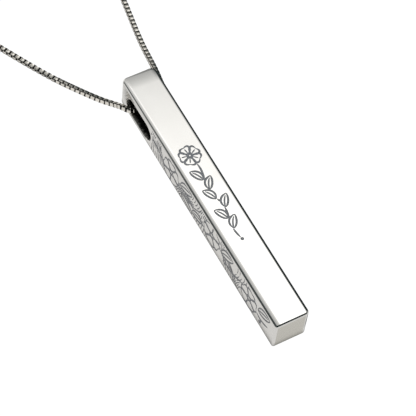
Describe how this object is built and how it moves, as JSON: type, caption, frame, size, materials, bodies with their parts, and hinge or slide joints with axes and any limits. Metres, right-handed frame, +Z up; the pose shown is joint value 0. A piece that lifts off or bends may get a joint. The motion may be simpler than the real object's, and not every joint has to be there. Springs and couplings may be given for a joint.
{
  "type": "bar pendant necklace",
  "caption": "Square bar pendant with an engraved side and a slot near one end, threaded on a fine box chain closed by a barrel clasp and laid out as one loop.",
  "frame": {"origin": "middle of the whole necklace's box, on the surface that it lies on", "axes": "+Z up out of the bar's front face, +Y along the bar from its free end to its slotted end and on into the chain's loop"},
  "size_m": [0.0894, 0.227, 0.005],
  "materials": {
    "bar_silver": "polished",
    "chain_silver": "bright",
    "clasp_silver": "polished"
  },
  "bodies": {
    "root": {"bar": "bar_silver", "chain": "chain_silver", "clasp": "clasp_silver"}
  },
  "joints": []
}
